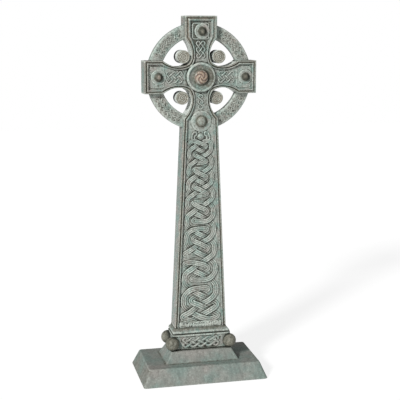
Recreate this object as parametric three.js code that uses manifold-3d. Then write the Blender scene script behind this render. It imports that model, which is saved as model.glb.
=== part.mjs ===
// A wheel-headed Celtic cross, cast as a memorial for a shelf or a garden wall, on a stepped plinth.
// Millimetres, +Z up, the carved front towards -Y, the origin on the ground under the plinth.
import * as THREE from 'three';
import { mergeVertices } from 'three/addons/utils/BufferGeometryUtils.js';
import Module from 'manifold-3d';

const wasm = await Module();
wasm.setup();

// Driving dimensions of the whole cross
const HEIGHT = 457;
const HEAD_Z = 383;
const HALF_DEPTH = 13;
const JOINT_GAP = 0.3;

// Stepped plinth: half width, half depth and height of each level, from the ground up
const PLINTH_LEVELS = [
  { z: 0, halfX: 79.6, halfY: 47.1, corner: 4 },
  { z: 1.2, halfX: 80.4, halfY: 47.9, corner: 4 },
  { z: 20.3, halfX: 72.3, halfY: 39.9, corner: 3 },
  { z: 21.3, halfX: 71.2, halfY: 38.8, corner: 3 },
  { z: 21.3, halfX: 47.8, halfY: 26.2, corner: 2 },
  { z: 34.7, halfX: 39.6, halfY: 20.0, corner: 2 },
  { z: 35.4, halfX: 38.9, halfY: 19.3, corner: 2 },
];
const PLINTH_TOP = PLINTH_LEVELS.at(-1).z;
const CORNER_STEPS = 3;

// Die block under the shaft, with a ball at each corner
const DIE_HALF_X = 35.6;
const DIE_HALF_Y = 14.4;
const DIE_TOP = 53.8;
const BALL_RADIUS = 8.8;
const BALL_X = 37.5;
const BALL_Y = 15.2;
const BALL_STEPS = 12;
const BALL_BANDS = 7;

// Cornice between the die and the shaft: mouldings from the die up
const CORNICE_LEVELS = [
  { z: 53.6, halfX: 37.0, halfY: 16.2 },
  { z: 55.9, halfX: 37.0, halfY: 16.2 },
  { z: 56.4, halfX: 35.8, halfY: 15.2 },
  { z: 57.4, halfX: 35.8, halfY: 15.2 },
  { z: 57.9, halfX: 36.6, halfY: 15.9 },
  { z: 60.1, halfX: 36.4, halfY: 15.7 },
  { z: 61.0, halfX: 34.6, halfY: 13.9 },
  { z: 64.0, halfX: 33.6, halfY: 12.9 },
];

// Shaft: half width at its foot and how much it loses for each millimetre of height
const SHAFT_FOOT_Z = 63.4;
const SHAFT_FOOT_HALF = 33.6;
const SHAFT_TAPER = 0.0447;
const shaftHalf = (z) => SHAFT_FOOT_HALF - SHAFT_TAPER * (z - SHAFT_FOOT_Z);

// The cross outline is measured from the middle of the head. Each pair is the edge of the
// cross, then the edge of the sunk panel inside its frame.
const SHAFT_FRAME = [0, 5.4];
const PANEL_FOOT_Z = [SHAFT_FOOT_Z, 67.4];
const ARM_REACH = [70.2, 64.6];
const ARM_HALF = [20, 14.8];
const ARM_SHOULDER_X = [47, 49.5];
const TOP_REACH = [HEIGHT - HEAD_Z, 67.4];
const TOP_HALF = [20, 12.4];
const TOP_SHOULDER_Z = [47, 50];
const SHAFT_SHOULDER_Z = [-50, -53];
const ARMPIT_X = [14.8, 10.8];
const ARMPIT_Z = [17.3, 12.8];
// How far the armpit curve is pulled in towards the upright and towards the arm
const UPRIGHT_PULL = { near: { x: [8.3, 4.8], z: [25, 22] }, far: { x: [10.6, 6.5], z: [37, 38] } };
const ARM_PULL = { near: { x: [22.3, 17], z: [10.8, 7.6] }, far: { x: [35.5, 36.5], z: [10.8, 6.5] } };
const LOWER_STRETCH = 1.06;
const CURVE_STEPS = 4;

// Frame round the face: groove between two rolls, and the sunk panel inside them
const GROOVE = [0.42, 0.6];
const GROOVE_DEPTH = 1.1;
const PANEL_DEPTH = 2.6;
const BACK_PANEL_DEPTH = 1.8;

// Ring of the head
const RING_OUTER = 66;
const RING_INNER = 49.6;
const RING_HALF_DEPTH = 4.6;
const RING_HALF_STEPS = 24;

// The four rolls in the armpits: across from the middle, up from the middle of the head, and how far
// each stands towards the front. No two of them stand quite alike.
const ROLLS = [
  { x: -22, z: 24.6, front: 12.6 },
  { x: 22.8, z: 24.6, front: 12.6 },
  { x: -22.8, z: -25.6, front: 9.4 },
  { x: 20.8, z: -25.8, front: 9.4 },
];
const ROLL_RADIUS = 8.1;
const ROLL_BACK = 9.4;
const ROLL_STEPS = 18;
const WEB_HALF_WIDTH = 4;
const WEB_HALF_DEPTH = 6;

// Bosses, as radius and height above the face
const CENTRE_BOSS = [
  [0, 5.4], [5.5, 4.6], [8.8, 1.6], [10.2, 0.1], [14.2, 0.2], [16.2, 1.8], [18.4, 0.2], [18.4, -3],
];
const SMALL_BOSS = [[0, 2.9], [3.4, 2.1], [5.9, -1.4], [8.2, -1.7], [9.2, -0.9], [10.2, -1.8], [10.2, -3.2]];
const CENTRE_BOSS_STEPS = 20;
const BACK_BOSS_STEPS = 16;
const SMALL_BOSS_STEPS = 12;

// Small bosses of the arms, the top and the shaft, from the middle of the head
const SMALL_BOSSES = [
  { x: -52.6, z: 0, scale: 0.95 },
  { x: 57, z: 0, scale: 0.9 },
  { x: 1.8, z: 55.4, scale: 0.95 },
  { x: 0.8, z: -54.2, scale: 1.35 },
];

// Knotwork on the front of the shaft: a plait of four columns whose rows shrink as it narrows
const KNOT_FOOT_Z = 70;
const KNOT_COLUMNS = 4;
const KNOT_ROWS = 40;
const KNOT_INSET = 7.4;
const KNOT_SHIFT = -0.6;
const ROW_STEP = 0.1455;
const RIBBON_HALF = 0.079;
const RIBBON_TOP_HALF = 0.05;
const FLAT_BREAKS = [7, 19, 25, 33];
const POINTED_ROW = 12;
const KNOT_TIGHT_STEPS = 3;

// Plait on the front of the die
const WEAVE_LENGTH = 51;
const WEAVE_HEIGHT = 13.4;
const WEAVE_Z = 44.9;
const WEAVE_ROWS = 10;
const WEAVE_COLUMNS = 4;
const WEAVE_TIGHT_STEPS = 2;
const WEAVE_DEPTH = 0.7;
const WEAVE_HALF_WIDTH = { base: 1.6, top: 0.85 };

// Strands: how high they stand above the ground of a panel under and over a crossing, and how
// far their foot goes into it
const STRAND_UNDER = 1.3;
const STRAND_OVER = 2.8;
const STRAND_FOOT = 0.4;

// A cut starts this far in front of the face, and points closer than this are one point
const CUT_OVERRUN = 1;
const WELD = 1e-4;

// Each closed geometry becomes a solid, so that solids can be joined and cut.
function solid(geometry) {
  geometry.deleteAttribute('normal');
  geometry.deleteAttribute('uv');
  const merged = mergeVertices(geometry, WELD);
  return new wasm.Manifold(new wasm.Mesh({
    numProp: 3,
    vertProperties: Float32Array.from(merged.attributes.position.array),
    triVerts: Uint32Array.from(merged.index.array),
  }));
}

function geometryOf(manifold) {
  const mesh = manifold.getMesh();
  const geometry = new THREE.BufferGeometry();
  geometry.setAttribute('position', new THREE.BufferAttribute(Float32Array.from(mesh.vertProperties), 3));
  geometry.setIndex(new THREE.BufferAttribute(Uint32Array.from(mesh.triVerts), 1));
  geometry.computeVertexNormals();
  return geometry;
}

const join = (solids) => solids.reduce((whole, piece) => whole.add(piece));

// Rings with equally many points are skinned into one closed body, with its faces pointing out.
function loft(rings) {
  const count = rings[0].length;
  const points = rings.flat();
  const triangles = [];
  for (let ring = 0; ring < rings.length - 1; ring += 1) {
    for (let i = 0; i < count; i += 1) {
      const next = (i + 1) % count;
      const low = ring * count;
      const high = low + count;
      triangles.push([low + i, low + next, high + next], [low + i, high + next, high + i]);
    }
  }
  const last = (rings.length - 1) * count;
  for (let i = 1; i < count - 1; i += 1) {
    triangles.push([0, i + 1, i], [last, last + i, last + i + 1]);
  }
  const volume = triangles.reduce((sum, [a, b, c]) => sum
    + points[a].dot(new THREE.Vector3().crossVectors(points[b], points[c])), 0);
  const facing = volume > 0 ? triangles : triangles.map(([a, b, c]) => [a, c, b]);
  const geometry = new THREE.BufferGeometry().setFromPoints(points);
  geometry.setIndex(facing.flat());
  return solid(geometry);
}

// A rectangle with round corners at one height.
function roundedRectangle({ z, halfX, halfY, corner }) {
  const ring = [];
  for (let quarter = 0; quarter < 4; quarter += 1) {
    const signX = quarter === 0 || quarter === 3 ? 1 : -1;
    const signY = quarter < 2 ? 1 : -1;
    for (let step = 0; step <= CORNER_STEPS; step += 1) {
      const angle = (quarter + step / CORNER_STEPS) * Math.PI / 2;
      ring.push(new THREE.Vector3(
        signX * (halfX - corner) + corner * Math.cos(angle),
        signY * (halfY - corner) + corner * Math.sin(angle),
        z,
      ));
    }
  }
  return ring;
}

function rectangle({ z, halfX, halfY }) {
  return [[1, 1], [-1, 1], [-1, -1], [1, -1]].map(([x, y]) => new THREE.Vector3(x * halfX, y * halfY, z));
}

// A flat shape drawn in width and height becomes a slab between two depths.
function slab(shape, front, back) {
  const geometry = new THREE.ExtrudeGeometry(shape, {
    depth: back - front,
    bevelEnabled: false,
    curveSegments: CURVE_STEPS,
  });
  geometry.rotateX(Math.PI / 2);
  geometry.translate(0, back, 0);
  return solid(geometry);
}

// The outline of shaft and head: inset 0 is the edge of the cross, inset 1 the edge of its panel.
function crossOutline(inset) {
  const at = ([edge, panel]) => edge + (panel - edge) * inset;
  const footZ = at(PANEL_FOOT_Z);
  const lowShoulderZ = HEAD_Z + at(SHAFT_SHOULDER_Z);
  const half = (z) => shaftHalf(z) - at(SHAFT_FRAME);
  const armpit = (side, up) => {
    const stretch = up > 0 ? 1 : LOWER_STRETCH;
    const point = ({ x, z }, tall = 1) => [side * at(x), HEAD_Z + up * at(z) * tall];
    return {
      upright: up > 0
        ? [side * at(TOP_HALF), HEAD_Z + at(TOP_SHOULDER_Z)]
        : [side * half(lowShoulderZ), lowShoulderZ],
      far: point(UPRIGHT_PULL.far, stretch),
      near: point(UPRIGHT_PULL.near, stretch),
      middle: point({ x: ARMPIT_X, z: ARMPIT_Z }),
      armNear: point(ARM_PULL.near),
      armFar: point(ARM_PULL.far),
      arm: [side * at(ARM_SHOULDER_X), HEAD_Z + up * at(ARM_HALF)],
    };
  };
  const shape = new THREE.Shape();
  const intoArm = (q) => {
    shape.lineTo(...q.upright);
    shape.bezierCurveTo(...q.far, ...q.near, ...q.middle);
    shape.bezierCurveTo(...q.armNear, ...q.armFar, ...q.arm);
  };
  const outOfArm = (q) => {
    shape.lineTo(...q.arm);
    shape.bezierCurveTo(...q.armFar, ...q.armNear, ...q.middle);
    shape.bezierCurveTo(...q.near, ...q.far, ...q.upright);
  };
  shape.moveTo(-half(footZ), footZ);
  shape.lineTo(half(footZ), footZ);
  intoArm(armpit(1, -1));
  shape.lineTo(at(ARM_REACH), HEAD_Z - at(ARM_HALF));
  shape.lineTo(at(ARM_REACH), HEAD_Z + at(ARM_HALF));
  outOfArm(armpit(1, 1));
  shape.lineTo(at(TOP_HALF), HEAD_Z + at(TOP_REACH));
  shape.lineTo(-at(TOP_HALF), HEAD_Z + at(TOP_REACH));
  intoArm(armpit(-1, 1));
  shape.lineTo(-at(ARM_REACH), HEAD_Z + at(ARM_HALF));
  shape.lineTo(-at(ARM_REACH), HEAD_Z - at(ARM_HALF));
  outOfArm(armpit(-1, -1));
  shape.closePath();
  return shape;
}

// Turned pieces stand out from the front face, or from the back face when side is 1.
function boss(profile, steps, x, z, side = -1, scale = 1) {
  const points = [[0, profile.at(-1)[1]], ...profile.toReversed()];
  const lathe = new THREE.LatheGeometry(
    points.map(([radius, height]) => new THREE.Vector2(radius * scale, height)),
    steps,
  );
  if (side < 0) lathe.rotateX(Math.PI);
  lathe.translate(x, side * HALF_DEPTH, z);
  return solid(lathe);
}

function headRing() {
  const shape = new THREE.Shape();
  shape.absarc(0, HEAD_Z, RING_OUTER, 0, 2 * Math.PI);
  const hole = new THREE.Path();
  hole.absarc(0, HEAD_Z, RING_INNER, 0, 2 * Math.PI);
  shape.holes.push(hole);
  const geometry = new THREE.ExtrudeGeometry(shape, {
    depth: 2 * RING_HALF_DEPTH,
    bevelEnabled: false,
    curveSegments: RING_HALF_STEPS,
  });
  geometry.rotateX(Math.PI / 2);
  geometry.translate(0, RING_HALF_DEPTH, 0);
  return solid(geometry);
}

// A roll lies along the depth in each armpit, held to the cross by a short web behind its face.
function armpitRoll({ x, z, front }) {
  const roll = new THREE.CylinderGeometry(ROLL_RADIUS, ROLL_RADIUS, front + ROLL_BACK, ROLL_STEPS);
  roll.translate(x, (ROLL_BACK - front) / 2, HEAD_Z + z);
  const reach = Math.hypot(x, z);
  const web = new THREE.BoxGeometry(reach, 2 * WEB_HALF_DEPTH, 2 * WEB_HALF_WIDTH);
  web.translate(reach / 2, 0, 0);
  web.rotateY(-Math.atan2(z, x));
  web.translate(0, 0, HEAD_Z);
  return join([solid(roll), solid(web)]);
}

// A plait lies on a lattice of columns and rows. Strands cross where column plus row is odd,
// turn back at the frame, and turn at a break: sideways at an upright one, up or down at a flat one.
// Each strand is a closed list of the places it passes, as column, row and height from 0 to 1.
function plaitStrands({ columns, rows, breakAt }) {
  const SIDE_TURN = 0.2;
  const LONG_TURN = 0.36;
  const LONG_MIDDLE = 0.24;
  const INNER_TURN = 0.1;
  const FLAT_TURN = 0.75;
  const END_TURN = 0.42;
  const isNode = (c, r) => (c + r) % 2 === 1;
  const inside = (value, turn, last) => (value === 0 ? turn : last - turn);
  const upright = (c, r) => r > 0 && r < rows && breakAt(c, r) === 'upright';
  const place = (c, r, dc, dr) => {
    const kind = c === 0 || c === columns || r === 0 || r === rows ? 'frame' : breakAt(c, r);
    if (kind === 'frame' && (c === 0 || c === columns)) {
      const inner = c === 0 ? 1 : columns - 1;
      const long = upright(inner, r - 1) || upright(inner, r + 1);
      const turn = long ? LONG_TURN : SIDE_TURN;
      return { c: inside(c, turn, columns), r, dc: -dc, dr, height: 0.5, tight: !long };
    }
    if (kind === 'frame') return { c, r: inside(r, END_TURN, rows), dc, dr: -dr, height: 0.5, tight: true };
    if (kind === 'flat') return { c, r: r - dr * FLAT_TURN, dc, dr: -dr, height: 0.5, tight: true };
    if (kind === 'upright') {
      const outer = (c === 1 && dc > 0) || (c === columns - 1 && dc < 0);
      const at = outer ? inside(c === 1 ? 0 : columns, LONG_MIDDLE, columns) : c - dc * INNER_TURN;
      return { c: at, r, dc: -dc, dr, height: 0.5, tight: !outer };
    }
    const rising = dc === dr;
    return { c, r, dc, dr, height: rising === (c % 2 === 1) ? 1 : 0, tight: false };
  };
  const seen = new Set();
  const strands = [];
  for (let c = 0; c <= columns; c += 1) {
    for (let r = 0; r <= rows; r += 1) {
      for (const [dc, dr] of [[1, 1], [-1, 1]]) {
        if (!isNode(c, r) || c + dc < 0 || c + dc > columns || r + dr > rows) continue;
        let at = { node: [c, r], dc, dr };
        const strand = [];
        const key = () => `${at.node} ${at.dc} ${at.dr}`;
        const back = () => `${at.node[0] + at.dc},${at.node[1] + at.dr} ${-at.dc} ${-at.dr}`;
        while (!seen.has(key())) {
          seen.add(key());
          seen.add(back());
          const [nc, nr] = [at.node[0] + at.dc, at.node[1] + at.dr];
          const next = place(nc, nr, at.dc, at.dr);
          strand.push(next);
          at = { node: [nc, nr], dc: next.dc, dr: next.dr };
        }
        if (strand.length > 2) strands.push(strand);
      }
    }
  }
  return strands;
}

// A strand becomes short flat-topped lengths laid end to end, one for each crossing or turning,
// with more steps in a tight turning. toFace gives the real place of a lattice point, and
// toFace.halfWidth the half width of the strand at a height.
function layStrand(strand, toFace, ground, tightSteps) {
  const count = strand.length;
  const spots = strand.map(({ c, r, height }) => {
    const { x, z } = toFace(c, r);
    return new THREE.Vector3(x, height, z);
  });
  const curve = new THREE.CatmullRomCurve3(spots, true, 'centripetal');
  const station = (index, fraction) => {
    const t = ((index + fraction + count) % count) / count;
    const point = curve.getPoint(t);
    const along = curve.getTangent(t);
    const across = new THREE.Vector3(along.z, 0, -along.x).normalize();
    const half = toFace.halfWidth(point.z);
    const top = ground - STRAND_UNDER - (STRAND_OVER - STRAND_UNDER) * THREE.MathUtils.clamp(point.y, 0, 1);
    const corner = (side, width, y) => new THREE.Vector3(
      point.x + side * width * across.x,
      y,
      point.z + side * width * across.z,
    );
    return [
      corner(-1, half.base, ground + STRAND_FOOT),
      corner(-1, half.top, top),
      corner(1, half.top, top),
      corner(1, half.base, ground + STRAND_FOOT),
    ];
  };
  return strand.map(({ tight }, index) => {
    const steps = tight ? tightSteps : 2;
    const stations = Array.from({ length: steps + 1 }, (_, step) => station(index, step / steps - 0.5));
    return loft(stations);
  });
}

// Lattice of the shaft's knotwork: each row is a fixed share of the width it stands at.
const knotHalfAt = (z) => shaftHalf(z) - KNOT_INSET;
const knotShrink = 1 - 2 * SHAFT_TAPER * ROW_STEP;
function knotPlace(c, r) {
  const half = knotHalfAt(KNOT_FOOT_Z) * knotShrink ** r;
  const z = SHAFT_FOOT_Z + (knotHalfAt(SHAFT_FOOT_Z) - half) / SHAFT_TAPER;
  return { x: KNOT_SHIFT + (2 * c / KNOT_COLUMNS - 1) * half, z };
}
knotPlace.halfWidth = (z) => ({
  base: 2 * knotHalfAt(z) * RIBBON_HALF,
  top: 2 * knotHalfAt(z) * RIBBON_TOP_HALF,
});

// Long arcs take turns down the two sides, because the outer columns break on every other row.
function knotBreak(c, r) {
  if (c === 2) return FLAT_BREAKS.includes(r) ? 'flat' : 'none';
  if (c === 1 && r === POINTED_ROW) return 'flat';
  if (c === 1) return r % 4 === 0 ? 'upright' : 'none';
  return r % 4 === 2 && r > 2 ? 'upright' : 'none';
}

function shaftKnot() {
  const strands = plaitStrands({ columns: KNOT_COLUMNS, rows: KNOT_ROWS, breakAt: knotBreak });
  const ground = -HALF_DEPTH + PANEL_DEPTH;
  return join(strands.flatMap((strand) => layStrand(strand, knotPlace, ground, KNOT_TIGHT_STEPS)));
}

// The die's plait runs sideways, so its rows lie along the width.
function weavePlace(c, r) {
  return {
    x: (r / WEAVE_ROWS - 0.5) * WEAVE_LENGTH,
    z: WEAVE_Z + (c / WEAVE_COLUMNS - 0.5) * WEAVE_HEIGHT,
  };
}
weavePlace.halfWidth = () => WEAVE_HALF_WIDTH;

function dieWeave() {
  const strands = plaitStrands({ columns: WEAVE_COLUMNS, rows: WEAVE_ROWS, breakAt: () => 'none' });
  const ground = -DIE_HALF_Y + WEAVE_DEPTH;
  return join(strands.flatMap((strand) => layStrand(strand, weavePlace, ground, WEAVE_TIGHT_STEPS)));
}

function die() {
  const block = loft([
    rectangle({ z: PLINTH_TOP + JOINT_GAP, halfX: DIE_HALF_X, halfY: DIE_HALF_Y }),
    rectangle({ z: DIE_TOP, halfX: DIE_HALF_X, halfY: DIE_HALF_Y }),
  ]);
  const balls = [[-1, -1], [1, -1], [-1, 1], [1, 1]].map(([sideX, sideY]) => {
    const ball = new THREE.SphereGeometry(BALL_RADIUS, BALL_STEPS, BALL_BANDS);
    ball.rotateX(Math.PI / 2);
    ball.translate(sideX * BALL_X, sideY * BALL_Y, PLINTH_TOP + JOINT_GAP + BALL_RADIUS);
    return solid(ball);
  });
  return join([block, ...balls]);
}

function crossBody() {
  const face = slab(crossOutline(0), -HALF_DEPTH, HALF_DEPTH);
  const rolls = ROLLS.map(armpitRoll);
  const whole = join([face, headRing(), ...rolls, loft(CORNICE_LEVELS.map(rectangle)), die()]);
  const grooveShape = crossOutline(GROOVE[0]);
  grooveShape.holes.push(crossOutline(GROOVE[1]));
  const before = HALF_DEPTH + CUT_OVERRUN;
  const frontGroove = slab(grooveShape, -before, -HALF_DEPTH + GROOVE_DEPTH);
  const frontPanel = slab(crossOutline(1), -before, -HALF_DEPTH + PANEL_DEPTH);
  const backPanel = slab(crossOutline(1), HALF_DEPTH - BACK_PANEL_DEPTH, before);
  return whole.subtract(frontGroove).subtract(frontPanel).subtract(backPanel);
}

function bosses() {
  const small = SMALL_BOSSES.map(({ x, z, scale }) => (
    boss(SMALL_BOSS, SMALL_BOSS_STEPS, x, HEAD_Z + z, -1, scale)
  ));
  const front = boss(CENTRE_BOSS, CENTRE_BOSS_STEPS, 0, HEAD_Z);
  const back = boss(CENTRE_BOSS, BACK_BOSS_STEPS, 0, HEAD_Z, 1);
  return join([front, back, ...small]);
}

const verdigris = (color) => new THREE.MeshStandardMaterial({ color, roughness: 0.72, metalness: 0.15 });

const casting = join([crossBody(), bosses(), shaftKnot(), dieWeave()]);
const cross = new THREE.Mesh(geometryOf(casting), verdigris(0x8d9c92));
cross.name = 'cross';

const steps = loft(PLINTH_LEVELS.map(roundedRectangle));
const plinth = new THREE.Mesh(geometryOf(steps), verdigris(0x87938c));
plinth.name = 'plinth';

const group = new THREE.Group();
group.add(cross, plinth);

export default group;
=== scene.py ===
# %% [markdown]
# A wheel-headed Celtic cross, cast small for a shelf or a garden wall.
# The solid model already gives the true sizes. This lesson dresses it: the mouldings, the knotwork,
# the bosses and the aged green finish are built round it, in the same place and at the same size.

# %% Load the solid model
import math

import bpy
import numpy as np
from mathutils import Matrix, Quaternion, Vector
from mathutils.bvhtree import BVHTree
from mathutils.geometry import delaunay_2d_cdt


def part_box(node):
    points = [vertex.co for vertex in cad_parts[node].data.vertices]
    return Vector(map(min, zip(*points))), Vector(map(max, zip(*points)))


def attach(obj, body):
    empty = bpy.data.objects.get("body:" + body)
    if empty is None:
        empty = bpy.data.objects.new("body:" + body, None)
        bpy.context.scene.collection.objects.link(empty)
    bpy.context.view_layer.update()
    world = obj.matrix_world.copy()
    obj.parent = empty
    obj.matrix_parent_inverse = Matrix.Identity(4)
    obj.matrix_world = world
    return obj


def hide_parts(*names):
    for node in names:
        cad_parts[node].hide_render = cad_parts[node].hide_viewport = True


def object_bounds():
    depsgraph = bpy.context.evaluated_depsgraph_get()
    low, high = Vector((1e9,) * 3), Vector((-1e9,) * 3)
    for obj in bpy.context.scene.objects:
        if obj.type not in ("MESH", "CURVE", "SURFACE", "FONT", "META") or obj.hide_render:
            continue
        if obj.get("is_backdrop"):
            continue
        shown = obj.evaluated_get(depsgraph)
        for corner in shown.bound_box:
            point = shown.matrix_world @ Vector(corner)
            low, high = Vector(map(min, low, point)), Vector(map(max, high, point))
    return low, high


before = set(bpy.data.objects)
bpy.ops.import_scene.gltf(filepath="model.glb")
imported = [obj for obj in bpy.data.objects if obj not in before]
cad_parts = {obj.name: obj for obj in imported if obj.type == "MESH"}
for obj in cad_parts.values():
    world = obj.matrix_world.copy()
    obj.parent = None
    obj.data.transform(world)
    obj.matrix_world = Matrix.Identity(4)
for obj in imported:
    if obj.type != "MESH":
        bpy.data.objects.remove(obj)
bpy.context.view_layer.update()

# %% [markdown]
# The camera stands a little to the left of the cross, about two and a half of its heights away, and
# looks slightly down on it. Blender points a camera with a quaternion, and a small roll is added last.

# %% Camera
CAMERA_AZIMUTH = 13.1
CAMERA_PITCH = 10.43
CAMERA_ROLL = 0.12
CAMERA_DISTANCE = 1.1758
CAMERA_TARGET = Vector((0.0018, 0, 0.2277))
LENS = 83.4


def place_camera():
    turn = math.radians(CAMERA_AZIMUTH)
    pitch = math.radians(CAMERA_PITCH)
    looking = Vector((math.sin(turn) * math.cos(pitch), math.cos(turn) * math.cos(pitch), -math.sin(pitch)))
    data = bpy.data.cameras.new("camera")
    data.lens = LENS
    camera = bpy.data.objects.new("camera", data)
    camera.location = CAMERA_TARGET - looking * CAMERA_DISTANCE
    camera.rotation_mode = "QUATERNION"
    roll = Quaternion((0, 0, 1), math.radians(CAMERA_ROLL))
    camera.rotation_quaternion = looking.to_track_quat("-Z", "Y") @ roll
    bpy.context.scene.collection.objects.link(camera)
    bpy.context.scene.camera = camera
    return camera


print("the camera stands at", [round(value, 3) for value in place_camera().location])

# %% [markdown]
# Shader maths reads best as ordinary expressions. A Wire stands for one output of a node, and adding
# or multiplying wires adds the Math nodes that do it. Every other node comes from Wire.node.

# %% Shader wires
# sockets of a Mix node that mixes colours
AMOUNT, BELOW, ABOVE, MIXED = 0, 6, 7, 2


class Wire:
    """One output of a shader node."""

    def __init__(self, tree, socket=None):
        self.tree = tree
        self.socket = socket

    def node(self, kind, settings=None, inputs=None, output=0):
        made = self.tree.nodes.new(kind)
        for name, value in (settings or {}).items():
            setattr(made, name, value)
        for name, value in (inputs or {}).items():
            if isinstance(value, Wire):
                self.tree.links.new(value.socket, made.inputs[name])
            else:
                made.inputs[name].default_value = value
        return Wire(self.tree, made.outputs[output] if len(made.outputs) else None)

    def maths(self, operation, *values):
        return self.node("ShaderNodeMath", {"operation": operation}, dict(enumerate(values)))

    def __add__(self, other):
        return self.maths("ADD", self, other)

    def __sub__(self, other):
        return self.maths("SUBTRACT", self, other)

    def __rsub__(self, other):
        return self.maths("SUBTRACT", other, self)

    def __mul__(self, other):
        return self.maths("MULTIPLY", self, other)

    __radd__ = __add__
    __rmul__ = __mul__

    def clamped(self):
        return self.node("ShaderNodeClamp", {}, {"Value": self})

    def between(self, low, high):
        """0 below low and 1 above high, with a smooth step from one to the other."""
        return self.node("ShaderNodeMapRange", {"interpolation_type": "SMOOTHSTEP"},
                         {"Value": self, "From Min": low, "From Max": high})

    def tint(self, colour, amount):
        """This colour, with another laid over it by an amount from 0 to 1."""
        return self.node("ShaderNodeMix", {"data_type": "RGBA"},
                         {AMOUNT: amount, BELOW: self, ABOVE: colour}, MIXED)

    def shade(self, factor):
        """This colour made darker or lighter by a factor."""
        grey = self.node("ShaderNodeCombineColor", {}, {0: factor, 1: factor, 2: factor})
        return self.node("ShaderNodeMix", {"data_type": "RGBA", "blend_type": "MULTIPLY"},
                         {AMOUNT: 1.0, BELOW: self, ABOVE: grey}, MIXED)

    def noise(self, scale, detail=3.0, roughness=0.55, stretch=(1, 1, 1), seed=0.0):
        """Cloudy values round 0.5 over the piece. scale is in clouds for each metre."""
        spot = self.node("ShaderNodeTexCoord", {}, {}, "Object")
        moved = self.node("ShaderNodeMapping", {},
                          {"Vector": spot, "Location": (seed, seed, seed), "Scale": stretch})
        return self.node("ShaderNodeTexNoise", {},
                         {"Vector": moved, "Scale": scale, "Detail": detail, "Roughness": roughness})


def new_finish(name):
    finish = bpy.data.materials.new(name)
    finish.use_nodes = True
    finish.node_tree.nodes.clear()
    return finish, Wire(finish.node_tree)


print("shader wires are ready")

# %% [markdown]
# The finish is a sprayed patina over a bronze-coloured casting. From the bottom up it is a grey green
# that drifts towards blue and towards a pinkish grey, a brown that lies on the rolls and outer edges,
# bare copper on the knobs, a pale bloom that catches on every ridge and also stands in as a painted
# highlight on some faces towards the lamp, an olive wash that settles in the hollows, and near black
# where a cut is deep. Both washes also paint the shade of the hollows, creases and gaps. The mesh
# carries a value for each of these at each point, and noise breaks up every border between them. Where
# the pale value passes the threshold given below, the bloom turns to chalk. In places this chalk is a
# painted highlight, and it also keeps the washes off.

# %% Verdigris finish
GREY_GREEN = (0.190, 0.202, 0.182, 1)
BLUE_GREEN = (0.126, 0.196, 0.174, 1)
PINK_GREY = (0.250, 0.220, 0.202, 1)
PALE_BLOOM_AND_HIGHLIGHT = (0.440, 0.485, 0.435, 1)
CHALK_AND_HIGHLIGHT = (0.660, 0.690, 0.655, 1)
BEIGE_BROWN = (0.190, 0.165, 0.128, 1)
UMBER = (0.095, 0.072, 0.048, 1)
OLIVE_WASH_AND_SHADE = (0.078, 0.078, 0.056, 1)
DARK_WASH_AND_SHADE = (0.020, 0.023, 0.018, 1)
COPPER = (0.290, 0.212, 0.150, 1)
RED_COPPER = (0.130, 0.074, 0.056, 1)
# the value of its noise or mask at which each layer starts, and at which it covers
BLUE_BAND = (0.42, 0.64)
PINK_BAND = (0.50, 0.68)
UMBER_BAND = (0.44, 0.62)
RED_BAND = (0.15, 0.42)
COPPER_BAND = (0.42, 0.95)
RIDGE_BAND = (0.02, 0.22)
WORN_BAND = (0.36, 0.62)
PALE_SPECKS = (0.54, 0.70)
DARK_SPECKS = (0.46, 0.32)
OLIVE_BAND = (0.32, 0.80)
DARK_BAND = (0.58, 1.10)
PIT_BAND = (0.40, 0.26)
CHALK_AND_HIGHLIGHT_FROM = 1.2
# noise scales in clouds for each metre
MOTTLE_SCALE = 300
SPECK_SCALE = 460
STREAK_SCALE = 210
GRAIN_SCALE = 1300
UPRIGHT_STREAKS = (1, 1, 0.16)
BUMP_HEIGHT = 0.0005


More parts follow.
